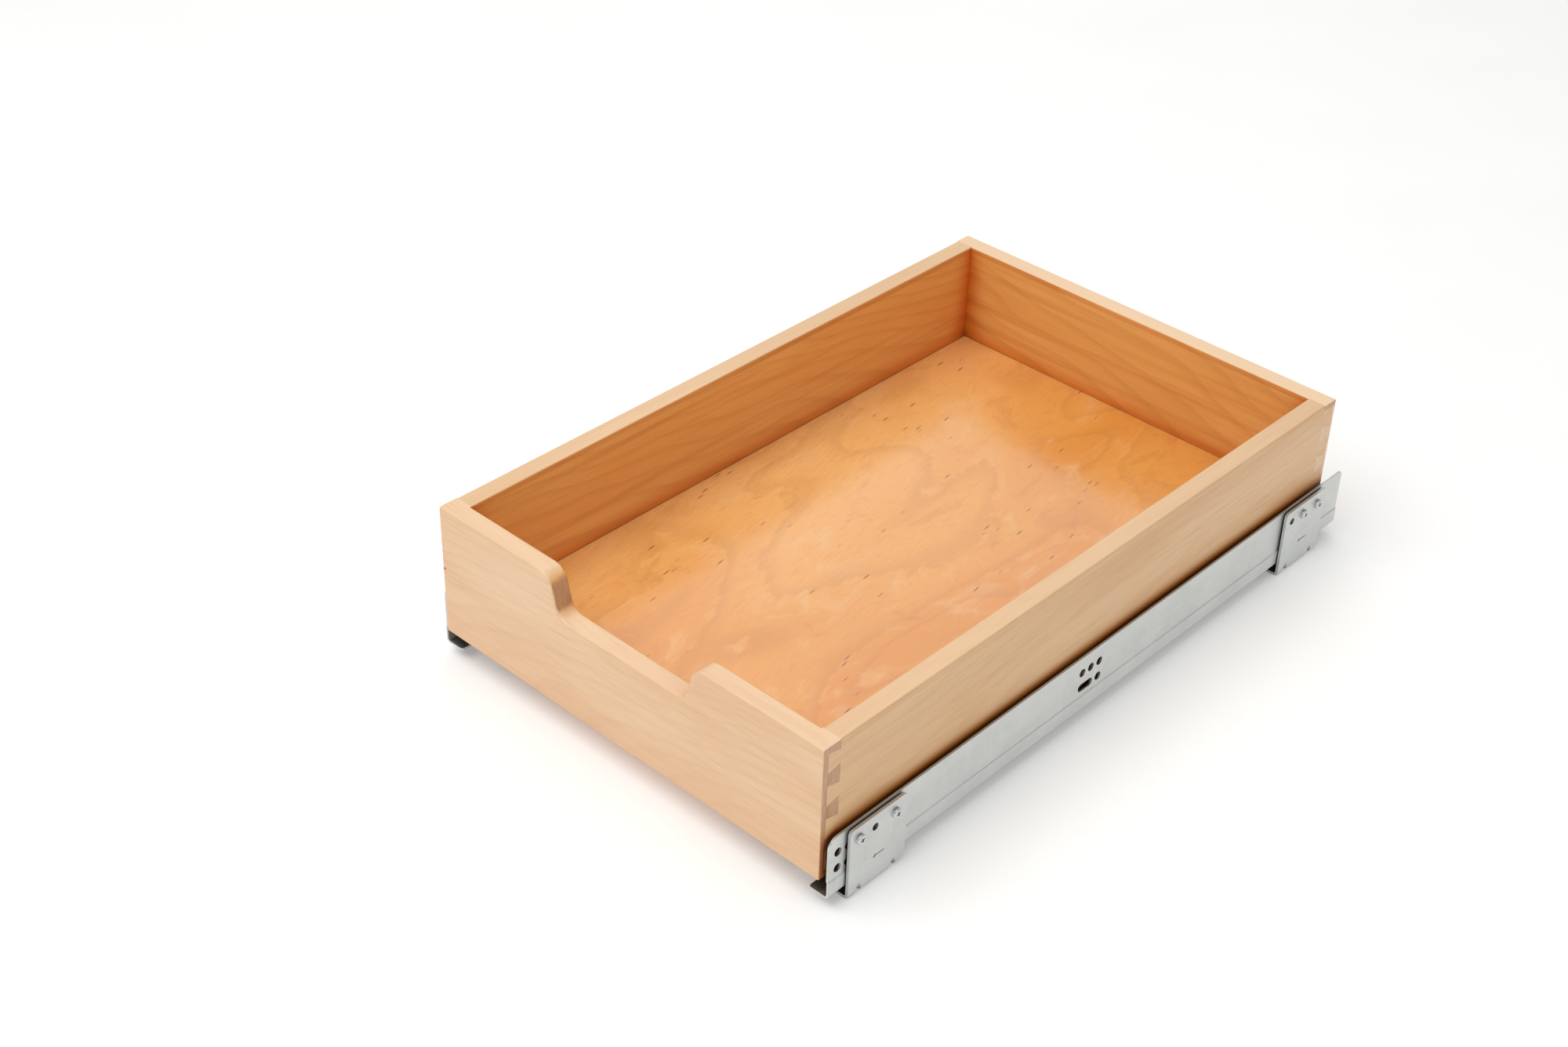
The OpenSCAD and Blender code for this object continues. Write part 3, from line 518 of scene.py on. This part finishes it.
def scoop_edge():
    """Right half of the scoop from its floor outwards: places in X and in Z below the top edge,
    each with the direction out of the wood."""
    corner = math.tan(math.pi / 4 - SCOOP_LEAN / 2)
    low = Vector((SCOOP_HALF_W - SCOOP_LOW_R * corner, SCOOP_LOW_R - SCOOP_DEPTH))
    top_half_w = SCOOP_HALF_W + SCOOP_DEPTH * math.tan(SCOOP_LEAN)
    top = Vector((top_half_w + SCOOP_TOP_R * corner, -SCOOP_TOP_R))
    hollow = arc(low, SCOOP_LOW_R, -math.pi / 2, -SCOOP_LEAN)
    return ([(place, -ray) for place, ray in hollow]
            + arc(top, SCOOP_TOP_R, math.pi - SCOOP_LEAN, math.pi / 2))


def cut_away(piece, node):
    """Takes the space of a CAD node out of a piece that meets it."""
    whole = bmesh.new()
    whole.from_mesh(NODES[node].data)
    bmesh.ops.remove_doubles(whole, verts=whole.verts, dist=WELD)
    mesh = bpy.data.meshes.new("cutter")
    whole.to_mesh(mesh)
    whole.free()
    cutter = bpy.data.objects.new("cutter", mesh)
    bpy.context.scene.collection.objects.link(cutter)
    cut = piece.modifiers.new("cut", "BOOLEAN")
    cut.object = cutter
    cut.operation = "DIFFERENCE"
    cut.solver = "EXACT"
    result = piece.evaluated_get(bpy.context.evaluated_depsgraph_get())
    piece.data = bpy.data.meshes.new_from_object(result)
    piece.modifiers.clear()
    bpy.data.objects.remove(cutter)


def join_flats(piece):
    """Merges the faces that lie in one plane."""
    shape = bmesh.new()
    shape.from_mesh(piece.data)
    bmesh.ops.dissolve_limit(shape, angle_limit=FLAT_ANGLE, verts=shape.verts, edges=shape.edges)
    shape.to_mesh(piece.data)
    shape.free()


def front_section(place, out, back_r, inset=0.0):
    """Ring round the front board under one place on its top edge, from its bottom edge up the
    outer face and down the inner one. out points out of the wood there, back_r is the radius of
    the rim at the back, and inset sets the outer face back."""
    low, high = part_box("drawer_front")
    foot_x = place.x - RIM_R * out.x
    ring = [Vector((foot_x, low.y + inset, low.z))]
    for radius, face, side in ((RIM_R, low.y, 1), (back_r, high.y, -1)):
        roll = []
        for i in range(RIM_STEPS + 1):
            turn = math.pi / 2 * i / RIM_STEPS
            edge = place - radius * (1 - math.sin(turn)) * out
            y = face + side * radius * (1 - math.cos(turn))
            roll.append(Vector((edge.x, max(y, low.y + inset), high.z + edge.y)))
        ring += roll if side > 0 else roll[::-1]
    return ring + [Vector((foot_x, high.y, low.z))]


def front_board(material):
    """The front with its top edge and scoop rolled over, cut to fit the sides and bottom.

    Its back edge stays sharp where the sides meet it.
    """
    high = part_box("drawer_front")[1]
    joint_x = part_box("drawer_side_right")[0].x
    up = Vector((0, 1))
    half = [front_section(place, out, RIM_R) for place, out in scoop_edge()]
    half.append(front_section(Vector((joint_x, 0)), up, RIM_R))
    half.append(front_section(Vector((joint_x + SHARP_R, 0)), up, SHARP_R))
    for i in range(CORNER_STEPS + 1):
        turn = math.pi / 2 * i / CORNER_STEPS
        x = high.x - CORNER_R * (1 - math.sin(turn))
        inset = CORNER_R * (1 - math.cos(turn))
        half.append(front_section(Vector((x, 0)), up, SHARP_R, inset))
    mirrored = [[Vector((-p.x, p.y, p.z)) for p in ring] for ring in reversed(half)]
    piece = loft("front_board", mirrored + half, material)
    for node in ("drawer_side_left", "drawer_side_right", "drawer_bottom"):
        cut_away(piece, node)
    join_flats(piece)
    piece.data.set_sharp_from_angle(angle=CREASE_ANGLE)
    piece.modifiers.new("shade", "WEIGHTED_NORMAL").keep_sharp = True
    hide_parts("drawer_front")
    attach(piece, "drawer")


def tube(name, path, radius, material, sides=8):
    """Round rod along a path of points."""
    rings = []
    for i, point in enumerate(path):
        ahead = path[min(i + 1, len(path) - 1)] - path[max(i - 1, 0)]
        out = ahead.orthogonal() if i == 0 else ahead.cross(out.cross(ahead))
        out.normalize()
        across = ahead.normalized().cross(out)
        turns = [2 * math.pi * k / sides for k in range(sides)]
        rings.append([point + radius * (math.cos(t) * out + math.sin(t) * across) for t in turns])
    return loft(name, rings, material)


def closing_spring(side, material):
    """Coil from the housing's rear wall to the catch, with closed turns at each end."""
    low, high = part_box(f"closing_spring_{side}")
    axis = (low + high) / 2
    coil_r = (high.z - low.z) / 2 - WIRE_R
    closed_l = CLOSED_TURNS * CLOSED_PITCH
    open_l = high.y - low.y - 2 * (closed_l + WIRE_R)
    open_turns = COIL_TURNS - 2 * CLOSED_TURNS
    path = []
    for i in range(COIL_TURNS * COIL_STEPS + 1):
        turn = i / COIL_STEPS
        first = min(turn, CLOSED_TURNS) / CLOSED_TURNS
        middle = min(max(turn - CLOSED_TURNS, 0), open_turns) / open_turns
        last = max(turn - COIL_TURNS + CLOSED_TURNS, 0) / CLOSED_TURNS
        y = high.y - WIRE_R - closed_l * (first + last) - open_l * middle
        angle = 2 * math.pi * turn
        path.append(Vector((axis.x + coil_r * math.cos(angle), y,
                            axis.z + coil_r * math.sin(angle))))
    spring = tube(f"coil_spring_{side}", path, WIRE_R, material)
    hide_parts(f"closing_spring_{side}")
    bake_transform(spring)


# ---- studio ----------------------------------------------------------------------------------

def direction(azimuth, elevation):
    """Unit vector towards a place seen at that azimuth and elevation from the object."""
    flat = math.cos(elevation)
    return Vector((math.sin(azimuth) * flat, -math.cos(azimuth) * flat, math.sin(elevation)))


def add_camera():
    back = direction(VIEW_AZIMUTH, VIEW_ELEVATION)
    level = Vector((math.cos(VIEW_AZIMUTH), math.sin(VIEW_AZIMUTH), 0))
    upright = back.cross(level)
    right = math.cos(VIEW_ROLL) * level + math.sin(VIEW_ROLL) * upright
    up = math.cos(VIEW_ROLL) * upright - math.sin(VIEW_ROLL) * level
    lens = bpy.data.cameras.new("camera")
    lens.sensor_width = SENSOR_MM
    lens.lens = LENS_MM
    lens.shift_x, lens.shift_y = LENS_SHIFT
    camera = bpy.data.objects.new("camera", lens)
    turn = Matrix((right, up, back)).transposed().to_4x4()
    camera.matrix_world = Matrix.Translation(CENTRE + VIEW_OFFSET + VIEW_DISTANCE * back) @ turn
    bpy.context.scene.collection.objects.link(camera)
    bpy.context.scene.camera = camera


def add_softbox(name, azimuth, elevation, distance, power):
    """Square light that faces the middle of the object. Angles are in degrees."""
    towards = direction(math.radians(azimuth), math.radians(elevation))
    lamp = bpy.data.lights.new(name, "AREA")
    lamp.shape = "SQUARE"
    lamp.size = SOFTBOX_SIZE
    lamp.energy = power
    light = bpy.data.objects.new(name, lamp)
    light.location = CENTRE + distance * towards
    light.rotation_euler = towards.to_track_quat("Z", "Y").to_euler()
    bpy.context.scene.collection.objects.link(light)


def add_floor():
    half = FLOOR_SIZE / 2
    corners = [(x, y, LOW.z - FLOOR_GAP) for x, y in ((-half, -half), (half, -half),
                                                      (half, half), (-half, half))]
    mesh = bpy.data.meshes.new("floor")
    mesh.from_pydata(corners, [], [(0, 1, 2, 3)])
    mesh.materials.append(floor_paper())
    floor = bpy.data.objects.new("floor", mesh)
    bpy.context.scene.collection.objects.link(floor)


def add_world(brightness):
    world = bpy.data.worlds.new("studio")
    world.use_nodes = True
    world.node_tree.nodes["Background"].inputs["Color"].default_value = (1, 1, 1, 1)
    world.node_tree.nodes["Background"].inputs["Strength"].default_value = brightness
    bpy.context.scene.world = world


def build():
    dress_box()
    bright = dress_runners()
    for side in SIDES:
        closing_spring(side, bright)
    add_floor()
    add_world(WORLD_LIGHT)
    for name, (azimuth, elevation, distance, power) in SOFTBOXES.items():
        add_softbox(name, azimuth, elevation, distance, power)
    add_camera()
    bpy.context.scene.view_settings.view_transform = "Standard"


build()
